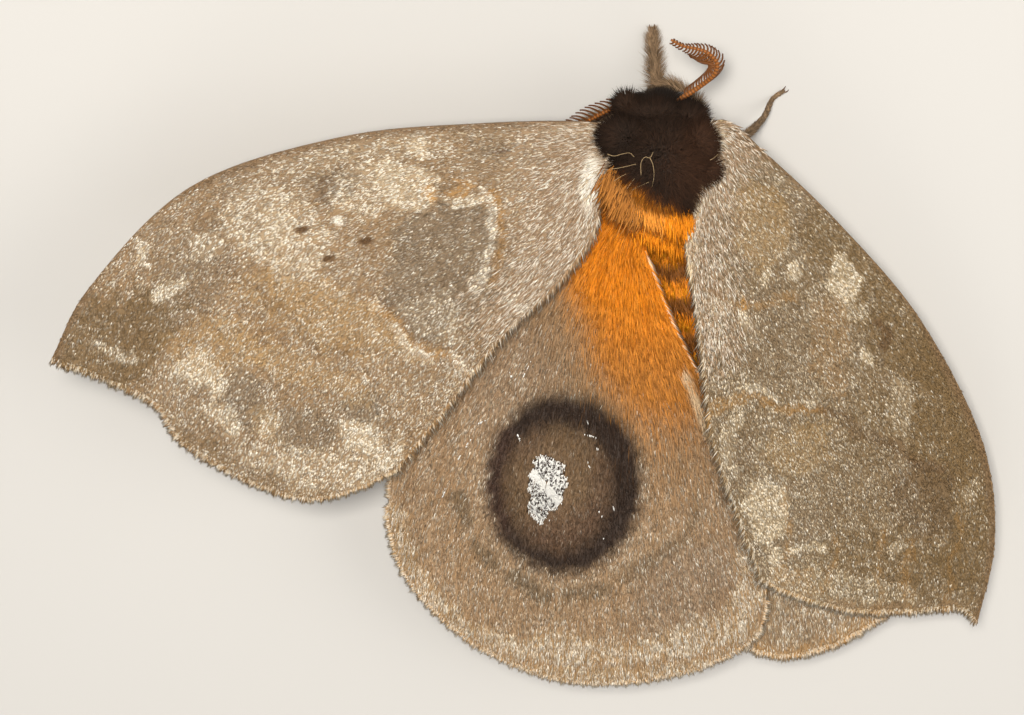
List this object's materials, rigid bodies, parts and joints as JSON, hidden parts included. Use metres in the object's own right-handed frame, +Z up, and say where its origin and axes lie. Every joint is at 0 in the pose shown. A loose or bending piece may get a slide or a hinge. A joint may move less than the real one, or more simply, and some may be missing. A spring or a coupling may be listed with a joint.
{
  "type": "automeris denticulata moth model",
  "caption": "Still life-size model of an eyespot silk moth at rest, wings half open over a banded body",
  "frame": {"origin": "on the floor, under the middle of the moth's plan outline", "axes": "+X to the moth's right across the spread wings, +Y to its head, +Z up off the floor"},
  "size_m": [0.081, 0.0599, 0.0112],
  "materials": {
    "pile": "dense dark brown pile",
    "belly": "orange hair with brown bands",
    "eye": "dark glossy eye",
    "antenna": "orange-brown horn",
    "limb": "grey-brown short hair",
    "forewing": "grey-tan scales with pale flecks",
    "hindwing": "orange and grey-brown scales with an eyespot"
  },
  "bodies": {
    "root": {"head": "pile", "thorax": "pile", "abdomen": "belly", "eye_left": "eye", "eye_right": "eye", "antenna_left": "antenna", "antenna_right": "antenna", "palp_left": "limb", "palp_right": "limb", "forewing_left": "forewing", "forewing_right": "forewing", "hindwing_left": "hindwing", "hindwing_right": "hindwing", "foreleg_left": "limb", "foreleg_right": "limb", "midleg_left": "limb", "midleg_right": "limb", "hindleg_left": "limb", "hindleg_right": "limb"}
  },
  "joints": []
}
